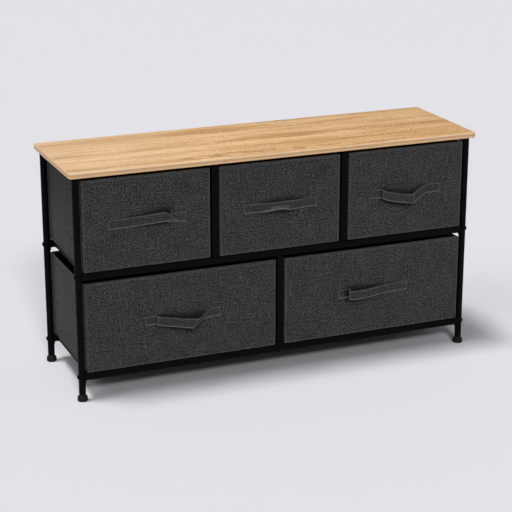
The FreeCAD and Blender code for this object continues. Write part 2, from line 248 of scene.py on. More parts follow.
stud_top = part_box("front_left_foot")[1].z
quarter = [math.pi / 2 * i / FOOT_ARC_STEPS for i in range(FOOT_ARC_STEPS + 1)]
foot_outline = [(FOOT_SOLE + (FOOT_RIM - FOOT_SOLE) * math.sin(a), FOOT_RIM_LOW * (1 - math.cos(a)))
                for a in quarter]
foot_outline += [(FOOT_NECK + (FOOT_RIM - FOOT_NECK) * math.cos(a),
                  FOOT_RIM_HIGH + (FOOT_HEIGHT - FOOT_RIM_HIGH) * math.sin(a)) for a in quarter]
foot_rings = turned(foot_outline, FOOT_SIDES)
foot_rings += threaded(STUD_RADIUS, FOOT_HEIGHT, stud_top, STUD_PITCH, STUD_DEPTH, FOOT_SIDES)
foot_shape = shaped("foot", *skin(foot_rings)[:2])
post_axis = {}
for corner in CORNERS:
    low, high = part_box(f"{corner}_post")
    post_axis[corner] = Vector(((low.x + high.x) / 2, (low.y + high.y) / 2, 0))
    foot = foot_shape.copy()
    foot.transform(Matrix.Translation(post_axis[corner]))
    add_piece(f"{corner}_domed_foot", foot, plastic, f"{corner}_foot", "black_plastic", f"{corner}_foot")


# Foot sockets
# A flanged plastic plug with a threaded bore is driven into the lower end of every post.
# Only its flange shows, as a narrow collar between the post and the foot.
SOCKET_BORE = 4.3 * MM
SOCKET_FLANGE = 7.3 * MM
SOCKET_STEM = 6.7 * MM
SOCKET_EASE = 0.4 * MM
ALONG_X = Vector((1, 0, 0))
ALONG_Z = Vector((0, 0, 1))


class Growth(Nodes):
    """A geometry tree with named inputs, which grows a plain mesh on a mesh of points or paths."""

    def __init__(self, name, inputs):
        super().__init__(bpy.data.node_groups.new(name, "GeometryNodeTree"))
        sides = [("Places", "INPUT", "Geometry"), ("Shape", "OUTPUT", "Geometry")]
        for label, side, kind in sides + [(label, "INPUT", kind) for label, kind in inputs.items()]:
            self.tree.interface.new_socket(label, in_out=side, socket_type=f"NodeSocket{kind}")
        self.entry = self.tree.nodes.new("NodeGroupInput")

    def given(self, label):
        return Value(self, self.entry.outputs[label])

    def end(self, instances):
        real = self.add("GeometryNodeRealizeInstances", {0: instances})
        painted = self.add("GeometryNodeSetMaterial", {0: real, "Material": self.given("Finish")})
        self.join(self.tree.nodes.new("NodeGroupOutput"), {0: painted})

    def grow(self, name, places, values):
        carrier = bpy.data.objects.new(name, places)
        bpy.context.scene.collection.objects.link(carrier)
        modifier = carrier.modifiers.new(name, "NODES")
        modifier.node_group = self.tree
        for socket in self.tree.interface.items_tree:
            if socket.in_out == "INPUT" and socket.name in values:
                modifier[socket.identifier] = values[socket.name]
        mesh = bpy.data.meshes.new_from_object(carrier.evaluated_get(bpy.context.evaluated_depsgraph_get()))
        bpy.data.objects.remove(carrier)
        return mesh


fixings = Growth("fixings", {"Piece": "Object", "Finish": "Material"})
facing = fixings.add("GeometryNodeInputNamedAttribute", {"Name": "facing"}, data_type="FLOAT_VECTOR")
fixing_turn = fixings.add("FunctionNodeAlignRotationToVector", {"Vector": facing}, axis="Z")
fixing = fixings.add("GeometryNodeObjectInfo", {"Object": fixings.given("Piece")}, out="Geometry")
fixings.end(fixings.add("GeometryNodeInstanceOnPoints", {
    "Points": fixings.given("Places"), "Instance": fixing, "Rotation": fixing_turn}))


def set_in_place(name, mesh, places, finish, slot, *nodes):
    """Sets copies of a mesh on the frame, one at each place, with its own Z turned to where it faces."""
    spots = bpy.data.meshes.new(f"{name}_places")
    spots.from_pydata([place for place, direction in places], [], [])
    spots.attributes.new("facing", "FLOAT_VECTOR", "POINT")
    spots.attributes["facing"].data.foreach_set("vector", [x for p, direction in places for x in direction])
    pattern = bpy.data.objects.new(f"{name}_pattern", mesh)
    grown = fixings.grow(name, spots, {"Piece": pattern, "Finish": finish.material})
    bpy.data.objects.remove(pattern)
    return add_piece(name, grown, finish, "frame", slot, *nodes)


socket_low, socket_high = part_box("foot_sockets")
collar_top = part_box("front_left_post")[0].z
socket_outline = [(SOCKET_BORE, socket_low.z), (SOCKET_FLANGE - SOCKET_EASE, socket_low.z),
                  (SOCKET_FLANGE, socket_low.z + SOCKET_EASE), (SOCKET_FLANGE, collar_top),
                  (SOCKET_STEM, collar_top), (SOCKET_STEM, socket_high.z), (SOCKET_BORE, socket_high.z)]
socket_shape = shaped("socket", *skin(turned(socket_outline, FOOT_SIDES), loop=True)[:2])
set_in_place("post_end_sockets", socket_shape, [(post_axis[c], ALONG_Z) for c in CORNERS],
             plastic, "black_plastic", "foot_sockets")


# Corner posts
# Round steel tube, 16 mm across, cut to length, deburred and powder coated in matt black.
# The coat dries to a fine orange-peel skin, shinier in some places than in others.
POST_WALL = 1.2 * MM
POST_EASE = 0.5 * MM
POST_SIDES = 64
COAT_DARK = (0.0016, 0.0016, 0.0017)
COAT_PALE = (0.0034, 0.0034, 0.0036)

coat = clouded("matt_black_powder_coat", {"Specular IOR Level": 0.04}, COAT_DARK, COAT_PALE,
               cloud=(22.0, 4.0), rough=(0.40, 0.16), grain=(1100.0, 3.0), depth=0.05 * MM)

for corner in CORNERS:
    node = f"{corner}_post"
    low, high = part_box(node)
    radius = (high.x - low.x) / 2
    inside = radius - POST_WALL
    outline = [(inside, low.z), (radius - POST_EASE, low.z), (radius, low.z + POST_EASE), (radius, high.z),
               (inside, high.z)]
    post = shaped(node, *skin(turned(outline, POST_SIDES), loop=True)[:2])
    post.transform(Matrix.Translation(post_axis[corner]))
    add_piece(f"{corner}_round_post", post, coat, "frame", "black_steel", node)


# Rails and saddles
# The front and rear rails of both shelves are square tube with softly rounded corners.
# Each end is cut to a curve and seats on a pressed saddle plate, which wraps the post's inner side.
TUBE_CORNER = 1.9 * MM
TUBE_WALL = 1.2 * MM
CORNER_STEPS = 5
SADDLE_THICKNESS = 1.5 * MM
SADDLE_HALF_ANGLE = math.radians(52)
SADDLE_ROUND = 5.0 * MM
SADDLE_COLUMNS = 28
SADDLE_HEIGHT = 30.0 * MM
POST_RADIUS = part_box("front_left_post")[1].x - post_axis["front_left"].x
SADDLE_RADIUS = POST_RADIUS + SADDLE_THICKNESS
SHELF_Z = {shelf: sum(p.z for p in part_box(f"{shelf}_front_rail")) / 2 for shelf in ("lower", "middle")}


def rounded_outline(low, high, corner, inset, steps):
    """Points round a rectangle with round corners, drawn in by an inset."""
    ring = []
    for turn, (sx, sy) in enumerate(((1, 1), (-1, 1), (-1, -1), (1, -1))):
        x = (high.x if sx > 0 else low.x) - sx * corner
        y = (high.y if sy > 0 else low.y) - sy * corner
        for step in range(steps + 1):
            angle = (turn + step / steps) * math.pi / 2
            ring.append((x + (corner - inset) * math.cos(angle), y + (corner - inset) * math.sin(angle)))
    return ring


def square_ring(size, corner, inset=0.0):
    """Points round a square with round corners, as offsets from its middle."""
    half = Vector((size / 2, size / 2))
    return rounded_outline(-half, half, corner, inset, CORNER_STEPS)


def add_square_tube(node, cope=None):
    """A hollow square tube in a node's place; cope gives how far an end runs, by the offset across it."""
    low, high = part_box(node)
    size = high - low
    axis = max(range(3), key=lambda i: size[i])
    side, up = [i for i in range(3) if i != axis]
    middle = (low + high) / 2

    def ring(outline, sign):
        points = []
        for across, rise in outline:
            point = middle.copy()
            reach = size[axis] / 2 if cope is None else cope(across)
            point[side] += across
            point[up] += rise
            point[axis] += sign * reach
            points.append(point)
        return points

    outer = square_ring(size[up], TUBE_CORNER)
    inner = square_ring(size[up], TUBE_CORNER, TUBE_WALL)
    rings = [ring(outer, -1), ring(outer, 1), ring(inner, 1), ring(inner, -1)]
    mesh = shaped(node, *skin(rings, loop=True)[:2])
    return add_piece(f"{node}_tube", mesh, coat, "frame", "black_steel", node)


POST_X = post_axis["front_right"].x
for shelf in SHELF_Z:
    for end in ("front", "rear"):
        add_square_tube(f"{shelf}_{end}_rail",
                        lambda across: POST_X - math.sqrt(SADDLE_RADIUS ** 2 - across ** 2))

saddle_rings = []
for i in range(SADDLE_COLUMNS + 1):
    angle = SADDLE_HALF_ANGLE * (2 * i / SADDLE_COLUMNS - 1)
    into_round = max(0.0, SADDLE_ROUND - SADDLE_RADIUS * (SADDLE_HALF_ANGLE - abs(angle)))
    half = SADDLE_HEIGHT / 2 - SADDLE_ROUND + math.sqrt(SADDLE_ROUND ** 2 - into_round ** 2)
    saddle_rings.append([Vector((h, r * math.sin(angle), r * math.cos(angle)))
                         for h, r in ((-half, POST_RADIUS), (-half, SADDLE_RADIUS),
                                      (half, SADDLE_RADIUS), (half, POST_RADIUS))])
saddle_shape = shaped("saddle", *skin(saddle_rings)[:2])
saddle_places = []
for axis_point in post_axis.values():
    inward = -ALONG_X if axis_point.x > 0 else ALONG_X
    saddle_places += [(axis_point + ALONG_Z * z, inward) for z in SHELF_Z.values()]
set_in_place("pressed_saddles", saddle_shape, saddle_places, coat, "black_steel", "rail_saddles")


# Shelf crossbars, dividers and top bars
# More of the same square tube: the crossbars carry the drawers, the dividers stand between them,
# and lighter bars under the board tie the posts and dividers. The butted ends are welded.
WELD_DROP = 3.4 * MM
WELD_OVERLAP = -1.7 * MM
WELD_WIDTH = 2.2 * MM
WELD_PATH_CORNER = 2.0 * MM

rows = Growth("row_along_path", {"Length": "Float", "Gap": "Float", "Width": "Float", "Finish": "Material"})
row_path = rows.add("GeometryNodeMeshToCurve", {0: rows.given("Places")})
row_steps = rows.add("GeometryNodeResampleCurve", {
    "Curve": row_path, "Length": rows.given("Length") + rows.given("Gap")}, mode="LENGTH")
row_turn = rows.add("FunctionNodeAlignRotationToVector", {
    "Vector": rows.add("GeometryNodeInputTangent")}, axis="X")
row_drop = rows.add("GeometryNodeMeshUVSphere", {"Segments": 6, "Rings": 4, "Radius": 0.5})
row_size = rows.add("ShaderNodeCombineXYZ", {
    0: rows.given("Length"), 1: rows.given("Width"), 2: rows.given("Width")})
rows.end(rows.add("GeometryNodeInstanceOnPoints", {
    "Points": row_steps, "Instance": row_drop, "Rotation": row_turn, "Scale": row_size}))


def row_along(name, paths, length, gap, width, finish):
    """A plain mesh of small drops in rows along paths of points."""
    points, edges = [], []
    for path in paths:
        edges += [(len(points) + i, len(points) + i + 1) for i in range(len(path) - 1)]
        points += path
    mesh = bpy.data.meshes.new(f"{name}_paths")
    mesh.from_pydata(points, edges, [])
    grown = rows.grow(name, mesh, {"Length": length, "Gap": gap, "Width": width,
                                   "Finish": finish.material})
    grown.shade_smooth()
    return grown


crossbars = [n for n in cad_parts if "_crossbar_" in n]
divider_bars = [f"{side}_divider_top_bar" for side in ("left", "right")]
dividers = [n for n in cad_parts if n.endswith(("divider_front", "divider_rear"))]
for node in crossbars + divider_bars + dividers:
    add_square_tube(node)
POST_Y = (post_axis["rear_left"].y - post_axis["front_left"].y) / 2
for side in ("left", "right"):
    add_square_tube(f"{side}_top_bar", lambda across: POST_Y - math.sqrt(POST_RADIUS ** 2 - across ** 2))

weld_paths = []
for node in crossbars + divider_bars:
    low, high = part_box(node)
    middle = (low + high) / 2
    for y in (low.y, high.y):
        loop = square_ring(high.z - low.z, WELD_PATH_CORNER)
        loop = [Vector((middle.x + across, y, middle.z + rise)) for across, rise in loop]
        weld_paths.append(loop + loop[:1])
welds = row_along("weld_beads", weld_paths, WELD_DROP, WELD_OVERLAP, WELD_WIDTH, coat)
add_piece("weld_beads", welds, coat, "frame", "black_steel")


# Bolts and screws
# Button-head bolts with a hexagon socket hold the rails to the posts and the dividers to the rails.
# Zinc-plated pan-head screws with a cross recess come up through the bars into the board.
BOLT_SHANK = 2.5 * MM
BOLT_HEAD = 5.25 * MM
BOLT_HEAD_HEIGHT = 2.8 * MM
BOLT_LENGTH = 33.0 * MM
BOLT_KEY = 1.6 * MM
BOLT_KEY_DEPTH = 1.7 * MM
SCREW_SHANK = 2.0 * MM
SCREW_HEAD = 4.0 * MM
SCREW_HEAD_HEIGHT = 2.4 * MM
SCREW_CROSS = 2.3 * MM
SCREW_CROSS_ARM = 0.55 * MM
SCREW_CROSS_DEPTH = 1.3 * MM
RECESS_BORDER = 1.1
HEAD_SIDES = 48
HEAD_STEPS = 7
ZINC_GREY = (0.42, 0.43, 0.45)
ZINC_BRIGHT = (0.62, 0.62, 0.60)


def hexagon(angle):
    """How far out the side of a hexagon socket lies in one direction."""
    return BOLT_KEY / math.cos((angle + math.pi / 6) % (math.pi / 3) - math.pi / 6)


def cross(angle):
    """How far out the side of a cross recess lies in one direction."""
    narrow = min(abs(math.sin(angle)), abs(math.cos(angle)))
    return min(SCREW_CROSS, SCREW_CROSS_ARM / max(narrow, SCREW_CROSS_ARM / SCREW_CROSS))


def headed(name, shank, head, height, length, recess, recess_depth):
    """A bolt or screw with a domed head up from the origin and its shank below, with a key recess."""
    turns = [2 * math.pi * i / HEAD_SIDES for i in range(HEAD_SIDES)]
    key = [(recess(a) * math.cos(a), recess(a) * math.sin(a)) for a in turns]
    flat = max(recess(a) for a in turns) * RECESS_BORDER
    dome = [math.pi / 2 * i / HEAD_STEPS for i in range(HEAD_STEPS + 1)]
    outline = [(flat + (head - flat) * math.sin(a), height * math.cos(a)) for a in dome]
    rings = [[Vector((x, y, z)) for x, y in key] for z in (height - recess_depth, height)]
    rings += turned(outline + [(shank, 0.0), (shank, -length)], HEAD_SIDES)
    return shaped(name, *skin(rings)[:2])


zinc = clouded("zinc_plate", {"Metallic": 1.0}, ZINC_GREY, ZINC_BRIGHT,
               cloud=(160.0, 3.0), rough=(0.25, 0.2), grain=(900.0, 2.0), depth=0.02 * MM)
bolt = headed("bolt", BOLT_SHANK, BOLT_HEAD, BOLT_HEAD_HEIGHT, BOLT_LENGTH, hexagon, BOLT_KEY_DEPTH)
bolt_places = []
for axis_point in post_axis.values():
    outward = ALONG_X if axis_point.x > 0 else -ALONG_X
    bolt_places += [(axis_point + outward * POST_RADIUS + ALONG_Z * z, outward) for z in SHELF_Z.values()]
set_in_place("rail_button_bolts", bolt, bolt_places, coat, "black_steel", "rail_bolts")

bolt_places = []
for node in dividers:
    low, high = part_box(node)
    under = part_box("middle_front_rail" if low.z > SHELF_Z["middle"] else "lower_front_rail")[0].z
    bolt_places.append((Vector(((low.x + high.x) / 2, (low.y + high.y) / 2, under)), -ALONG_Z))
set_in_place("divider_button_bolts", bolt, bolt_places, coat, "black_steel", "divider_bolts")

screw_low, screw_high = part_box("board_screws")
screw_length = screw_high.z - screw_low.z - SCREW_HEAD_HEIGHT
screw_from_middle = (screw_high.y - screw_low.y) / 2 - SCREW_HEAD
screw_places = []
for node in divider_bars + ["left_top_bar", "right_top_bar"]:
    low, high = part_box(node)
    for sign in (-1, 1):
        y = (low.y + high.y) / 2 + sign * screw_from_middle
        screw_places.append((Vector(((low.x + high.x) / 2, y, low.z)), -ALONG_Z))
screw = headed("screw", SCREW_SHANK, SCREW_HEAD, SCREW_HEAD_HEIGHT, screw_length, cross, SCREW_CROSS_DEPTH)
set_in_place("board_pan_screws", screw, screw_places, zinc, "zinc_steel", "board_screws")
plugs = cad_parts["threaded_plugs"]
plugs.data.materials.clear()
plugs.data.materials.append(zinc.material)


# Top board
# 12 mm fibreboard with an oak-look printed laminate, grain along the width, and a banded edge.
# The corners are rounded and the edges eased; the band is coloured lighter low down, darker higher up, and
# carries a painted highlight along its top edge.
BOARD_CORNER = 9.0 * MM
BOARD_EASE = 1.8 * MM
EASE_STEPS = 4
BOARD_CORNER_STEPS = 12
FLAT_FACE = 0.9
OAK_DARK = (0.27, 0.120, 0.040)
OAK_MID = (0.60, 0.335, 0.130)
OAK_LIGHT = (0.80, 0.500, 0.243)
OAK_PALE = (0.91, 0.66, 0.415)
OAK_HAZE = (0.76, 0.59, 0.45)
OAK_TAN = (0.48, 0.255, 0.095)
OAK_BEVEL_HIGHLIGHT = (0.834, 0.628, 0.42)
OAK_BEND = 0.030
OAK_BAND_SHARE = 0.40
OAK_STREAK_SHARE = 0.40
OAK_FIBRE_SHARE = 0.20
PORE_DEPTH = 0.45
RAY_DEPTH = 0.75

# The print has one figure of arched grain near the front. The board's colour is drawn paler and greyer
# towards its left end and a deeper tan towards its right end.
FIGURE_MIDDLE = (-0.045, -0.103)
FIGURE_LONG = 0.130
FIGURE_WIDE = 0.016
FIGURE_ARCS = 1.7
FIGURE_WANDER = 1.6
FIGURE_DEPTH = 0.85
BOARD_ENDS = (0.10, 0.50)
LEFT_HAZE = 0.25
RIGHT_TAN = 0.20

BAND_LIGHT = (0.80, 0.512, 0.272)
BAND_DARK = (0.645, 0.394, 0.212)
BAND_WAVER = 0.8 * MM
BAND_FIBRE = 0.3


def eased_slab(name, low, high, corner, ease, steps):
    """A flat board with round corners and round edges."""
    rings = []
    arc = [math.pi / 2 * i / EASE_STEPS for i in range(EASE_STEPS + 1)]
    levels = [(ease * (1 - math.sin(a)), low.z + ease * (1 - math.cos(a))) for a in arc]
    levels += [(inset, high.z + low.z - z) for inset, z in reversed(levels)]
    for inset, z in levels:
        rings.append([Vector((x, y, z)) for x, y in rounded_outline(low, high, corner, inset, steps)])
    return shaped(name, *skin(rings)[:2], crease=50)


oak = Finish("oak_print_laminate", {"Specular IOR Level": 0.4})


def grain(place, along, across, detail=3.0):
    """Marks in the oak print, drawn out by so many to the metre along and across the grain."""
    return oak.noise(oak.stretched(place, along, across, across), detail=detail)


oak_place = oak.place()
oak_drift = grain(oak_place, along=3.0, across=9.0)
oak_bent = oak.add("ShaderNodeVectorMath", {
    0: oak_place, 1: oak.add("ShaderNodeCombineXYZ", {1: OAK_BEND * oak_drift})}, operation="ADD")
oak_bands = oak.between(grain(oak_bent, along=1.3, across=30.0), 0.28, 0.70)
oak_streaks = oak.between(grain(oak_bent, along=6.0, across=150.0), 0.31, 0.69)
oak_fibre = grain(oak_bent, along=30.0, across=480.0)
oak_pores = oak.between(grain(oak_bent, along=70.0, across=800.0, detail=1.0), 0.56, 0.66)
oak_rays = oak.between(grain(oak_place, along=300.0, across=120.0, detail=2.0), 0.50, 0.66)
oak_ray_where = oak.between(grain(oak_place, along=5.0, across=30.0, detail=1.0), 0.44, 0.60)
oak_x, oak_y = (oak.add("ShaderNodeSeparateXYZ", {0: oak_bent}, out=side) for side in ("X", "Y"))
oak_far = (((oak_x - FIGURE_MIDDLE[0]) / FIGURE_LONG).math("POWER", 2.0)
           + ((oak_y - FIGURE_MIDDLE[1]) / FIGURE_WIDE).math("POWER", 2.0)).math("SQRT")
oak_wander = grain(oak_place, along=40.0, across=110.0)
oak_turns = oak_far * FIGURE_ARCS + FIGURE_WANDER * oak_wander
oak_arcs = oak.between((oak_turns * 2 * math.pi).math("SINE"), -0.1, 0.8)
oak_arc_where = oak.between(oak_far, 1.8, 1.0) * oak.between(oak_wander, 0.34, 0.50)
oak_tone = oak.add("ShaderNodeValToRGB", {
    0: OAK_BAND_SHARE * oak_bands + OAK_STREAK_SHARE * oak_streaks
    + OAK_FIBRE_SHARE * oak.between(oak_fibre, 0.25, 0.75)},
    stops=[(0.0, OAK_DARK), (0.40, OAK_MID), (0.62, OAK_LIGHT), (1.0, OAK_PALE)])
oak_tone = oak.mix(oak_arcs * oak_arc_where * FIGURE_DEPTH, oak_tone, OAK_DARK)
oak_tone = oak.mix(oak_pores * PORE_DEPTH, oak_tone, OAK_DARK)
oak_tone = oak.mix(oak_rays * oak_ray_where * RAY_DEPTH, oak_tone, OAK_PALE)
oak_tone = oak.mix(oak.between(oak_x, *(-end for end in BOARD_ENDS)) * LEFT_HAZE, oak_tone, OAK_HAZE)
oak_tone = oak.mix(oak.between(oak_x, *BOARD_ENDS) * RIGHT_TAN, oak_tone, OAK_TAN)
oak.shade(oak_tone, roughness=0.36 + 0.14 * oak_fibre, height=oak_fibre - 0.8 * oak_pores, depth=0.07 * MM)

band = Finish("oak_print_edge_band", {"Specular IOR Level": 0.4})
band_low, band_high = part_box("top_board")
band_place = band.place()
band_height = band.add("ShaderNodeSeparateXYZ", {0: band_place}, out="Z")
band_fibre = band.noise(band.stretched(band_place, 60.0, 60.0, 900.0), detail=3.0)
band_rise = band.between(band_height + 2 * BAND_WAVER * band_fibre,
                         band_low.z + BAND_WAVER, band_high.z + BAND_WAVER)
# Painted highlight: the top of the band, where it turns onto the eased edge, is made pale.
band_tone = band.add("ShaderNodeValToRGB", {0: band_rise}, stops=[
    (0.0, BAND_LIGHT), (0.36, BAND_LIGHT), (0.50, BAND_DARK), (0.78, BAND_DARK), (0.85, OAK_BEVEL_HIGHLIGHT),
    (1.0, OAK_BEVEL_HIGHLIGHT)])
band.shade(band.mix(BAND_FIBRE * band_fibre, band_tone, OAK_DARK),
           roughness=0.42 + 0.1 * band_fibre, height=band_fibre, depth=0.05 * MM)

board = eased_slab("top_board", band_low, band_high, BOARD_CORNER, BOARD_EASE, BOARD_CORNER_STEPS)
board.materials.append(oak.material)
board.materials.append(band.material)
for face in board.polygons:
    face.material_index = 0 if abs(face.normal.z) > FLAT_FACE else 1
add_piece("oak_top_board", board, oak, "frame", "oak_laminate", "top_board")


# Cloth bins
# Every drawer is a soft box sewn from charcoal melange cloth, stiff enough to stand by itself.
# Its walls bow a little, its upright corners are seamed, and a turned hem runs round its rim.
DRAWERS = ["upper_left", "upper_middle", "upper_right", "lower_left", "lower_right"]
BIN_WALL = 2.5 * MM
BIN_FLOOR = 2.0 * MM
BIN_CORNER = 6.0 * MM
BIN_CORNER_STEPS = 6
BIN_SPACING = 8.0 * MM
BIN_ROWS = 16
BIN_EDGE = 3.0 * MM
BIN_EDGE_IN = 0.9 * MM
BIN_BOW = 2.9 * MM
BOW_UP_TO = 0.92
BIN_CREASES = 0.55 * MM
CREASE_SIZE = 60.0 * MM
SEAM_RIDGE = 0.7 * MM
SEAM_SPREAD = 0.5
WALL_SQUARENESS = 15
FACING_FRONT = -0.7
HEM_HEIGHT = 15.0 * MM
HEM_STEP = 0.5 * MM
HEM_CLEAR = 2.0 * MM
HEM_SLOPE = 0.6 * MM
HEM_TURN = 1.2 * MM
HEM_STITCH_UP = 3.0 * MM
RIM_ROUND = 0.3 * MM
RIM_RISE = 6.5 * MM

# The cloth: its yarns, and how many thick places, streaks and clouds it has to a metre, along a yarn
# and across it, with the share that each has in a fleck's tone.
YARN = 0.85 * MM
YARN_TONE_RUN = 9.0 * MM
YARN_TONE_STEP = 7.13
YARN_DARK = (0.008, 0.008, 0.008)
YARN_MID = (0.0362, 0.0362, 0.0362)
YARN_LIGHT = (0.113, 0.113, 0.114)
YARN_PALE = (0.20, 0.20, 0.20)
WEAVE_DEPTH = 0.22 * MM
SLUB = (270.0, 720.0)
LONG_SLUB = (90.0, 380.0)
STREAK = (22.0, 640.0)
CLOUD = (16.0, 16.0)
WEAVE_SHARE = 0.4
STREAK_SHARE = 0.48
CLOUD_SHARE = 0.15
FLECK_RANGE = (-0.33, 0.37)


def melange(name, slubs, long_slubs):
    """A plain weave of charcoal yarns, each of its own tone, with thick places and streaks both ways.

    The mesh's second map of values gives a painted highlight, which makes the cloth paler, and a painted
    shade, which darkens it.
    """
    cloth = Finish(name, {"Specular IOR Level": 0.12, "Sheen Weight": 0.05, "Sheen Roughness": 0.5})
    cut, painted_light = (cloth.add("ShaderNodeUVMap", uv_map=layer) for layer in ("Cut", "Wear"))
    u, v = (cloth.add("ShaderNodeSeparateXYZ", {0: cut}, out=side) for side in ("X", "Y"))
    painted_highlight, painted_shade = (cloth.add("ShaderNodeSeparateXYZ", {0: painted_light}, out=side) for side in ("X", "Y"))

    def yarns(over, run):
        number = (over / YARN).math("FLOOR")
        back = ((over / YARN) % 1.0 * math.pi).math("SINE")
        spot = cloth.add("ShaderNodeCombineXYZ", {0: number * YARN_TONE_STEP, 1: run / YARN_TONE_RUN})
        return number, back, cloth.noise(spot, detail=1.0)

    def marks(along, across, detail=1.0):
        return cloth.noise(cloth.stretched(cut, along, across, 1.0), detail=detail)

    def both_ways(along, across):
        return marks(along, across) + marks(across, along) - 1.0

    warp_number, warp_back, warp_tone = yarns(u, v)
    weft_number, weft_back, weft_tone = yarns(v, u)
    warp_over = (warp_number + weft_number) % 2.0
    weave_tone = warp_over * warp_tone + (1 - warp_over) * weft_tone
    weave_back = warp_over * warp_back + (1 - warp_over) * weft_back
    fleck = (WEAVE_SHARE * (weave_tone - 0.5) + slubs * both_ways(*SLUB)
             + STREAK_SHARE * both_ways(*STREAK) + long_slubs * (marks(*LONG_SLUB) - 0.5)
             + CLOUD_SHARE * (marks(*CLOUD, detail=3.0) - 0.5))
    tone = cloth.add("ShaderNodeValToRGB", {0: cloth.between(fleck, *FLECK_RANGE)}, stops=[
        (0.0, YARN_DARK), (0.5, YARN_MID), (1.0, YARN_LIGHT)])
    # Painted shade: the tone is drawn towards the darkest yarn where the strap shades the cloth.
    tone = cloth.mix(painted_shade, tone, YARN_DARK)
    # Painted highlight: the tone is drawn towards a pale yarn where edges, bends and creases catch the
    # light.
    tone = cloth.mix(painted_highlight * (0.3 + 0.6 * weave_tone), tone, YARN_PALE)
    cloth.shade(tone, roughness=0.88 + 0.1 * weave_tone, height=weave_back, depth=WEAVE_DEPTH)
    return cloth


def bin_ring(low, high, inset, z):
    """Points round a bin at one height: bowed, creased walls, ridged seams, a rim higher in front."""
    middle = (low + high) / 2
    up = (z - low.z) / (high.z - low.z)
    swell = math.sin(math.pi * BOW_UP_TO * up)
    ring = []
    corners = rounded_outline(low, high, BIN_CORNER, 0.0, BIN_CORNER_STEPS)
    for here, following in zip(corners, corners[1:] + corners[:1]):
        count = max(1, round(math.dist(here, following) / BIN_SPACING))
        ring += [Vector((*here, 0)).lerp(Vector((*following, 0)), k / count) for k in range(count)]
    points = []
    for spot in ring:
        across_x = (spot.x - middle.x) / (high.x - middle.x)
        across_y = (spot.y - middle.y) / (high.y - middle.y)
        out = Vector((across_x ** WALL_SQUARENESS, across_y ** WALL_SQUARENESS, 0)).normalized()
        bow = BIN_BOW * (1 - min(abs(across_x), abs(across_y)) ** 2)
        crease = BIN_CREASES * noise.noise((spot + ALONG_Z * z) / CREASE_SIZE)
        at_seam = across_y > 0 and abs(abs(out.x) - abs(out.y)) < SEAM_SPREAD and inset <= 0
        move = -inset + (SEAM_RIDGE if at_seam else 0.0)
        if out.y > FACING_FRONT:
            move += swell * (bow + crease)
        rise = RIM_RISE * up ** 3 * (1 - across_y) / 2
        points.append(spot + out * move + ALONG_Z * (z + rise))
    return points


def add_bin(drawer):
    """One sewn bin; gives the two lines of stitches round its hem, outside and inside."""
    node = f"{drawer}_drawer_bin"
    low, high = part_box(node)
    hem = high.z - HEM_HEIGHT
    hem_low, hem_high = hem + HEM_SLOPE, high.z - HEM_TURN
    wall_low, wall_high = low.z + BIN_EDGE, hem - HEM_CLEAR
    rows_up = [wall_low + (wall_high - wall_low) * i / BIN_ROWS for i in range(BIN_ROWS + 1)]
    levels = [(BIN_EDGE, low.z), (BIN_EDGE_IN, low.z + BIN_EDGE_IN)] + [(0.0, z) for z in rows_up]
    outside = [(0.0, hem), (-HEM_STEP, hem_low), (-HEM_STEP, hem_high), (RIM_ROUND, high.z)]
    levels += outside + [(BIN_WALL - inset, z) for inset, z in reversed(outside)]
    levels += [(BIN_WALL, z) for z in reversed(rows_up)] + [(BIN_WALL, low.z + BIN_FLOOR)]
    rings = [bin_ring(low, high, inset, z) for inset, z in levels]
    reach = [0.0]
    for a, b in zip(rings[0], rings[0][1:] + rings[0][:1]):
        reach.append(reach[-1] + (b - a).length)
    climb = [0.0]
    for (inset_a, z_a), (inset_b, z_b) in zip(levels, levels[1:]):
        climb.append(climb[-1] + math.hypot(inset_b - inset_a, z_b - z_a))
    mesh = shaped(node, *skin(rings, across=reach, along=climb), crease=60)
    piece = add_piece(f"{drawer}_cloth_bin", mesh, bin_cloth, f"{drawer}_drawer", "charcoal_cloth", node)
    loops = [bin_ring(low, high, inset, hem + HEM_STITCH_UP) for inset in (-HEM_STEP, BIN_WALL + HEM_STEP)]
    return [loop + loop[:1] for loop in loops]


bin_cloth = melange("charcoal_bin_cloth", slubs=1.6, long_slubs=1.0)
sewn_lines = {drawer: add_bin(drawer) for drawer in DRAWERS}


# Base boards
# A loose sheet of thin fibreboard lies in each bin and keeps its floor flat.
# It is wrapped in dark felted cloth, which rounds its corners and edges.
BASE_CORNER = 3.5 * MM
BASE_EASE = 0.9 * MM
FELT_DARK = (0.018, 0.018, 0.019)
FELT_PALE = (0.070, 0.070, 0.072)

felt = Finish("dark_felted_cloth", {"Specular IOR Level": 0.1})
felt_fibres = felt.noise(felt.place(), scale=700.0, detail=4.0)
felt_cloud = felt.noise(felt.place(), scale=30.0, detail=3.0)
felt.shade(felt.mix(0.6 * felt_fibres + 0.4 * felt_cloud, FELT_DARK, FELT_PALE),
           roughness=0.85 + 0.1 * felt_fibres, height=felt_fibres, depth=0.15 * MM)
for drawer in DRAWERS:
    node = f"{drawer}_drawer_base"
    base = eased_slab(node, *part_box(node), BASE_CORNER, BASE_EASE, BOARD_CORNER_STEPS)
    add_piece(f"{drawer}_wrapped_base", base, felt, f"{drawer}_drawer", "fibreboard", node)


# Drawer fronts
# A stiff panel wrapped in the same cloth, sewn to the front of the bin, with soft round edges.
# A folded hem is stitched down along its top, and the cloth lies a little unevenly on the panel.
FRONT_CORNER = 2.0 * MM
FRONT_ROUND = 2.0 * MM
FRONT_SPACING = 3.4 * MM
EDGE_STOPS = (0.0, 0.12, 0.3, 0.55, 0.8, 1.1, 1.5)
FRONT_UNEVEN = 0.22 * MM
UNEVEN_SIZE = 45.0 * MM
UNEVEN_FROM_EDGE = 6.0 * MM
FOLD_BELOW_TOP = 7.5 * MM
FOLD_PROUD = 0.45 * MM
FOLD_GROOVE = 0.5 * MM
FOLD_HALF = 0.9 * MM
FOLD_STOPS = (-2, -1, -0.4, 0.4, 1, 2)
FOLD_CLEAR = 1.5 * MM
FOLD_STITCH_UP = 2.2 * MM


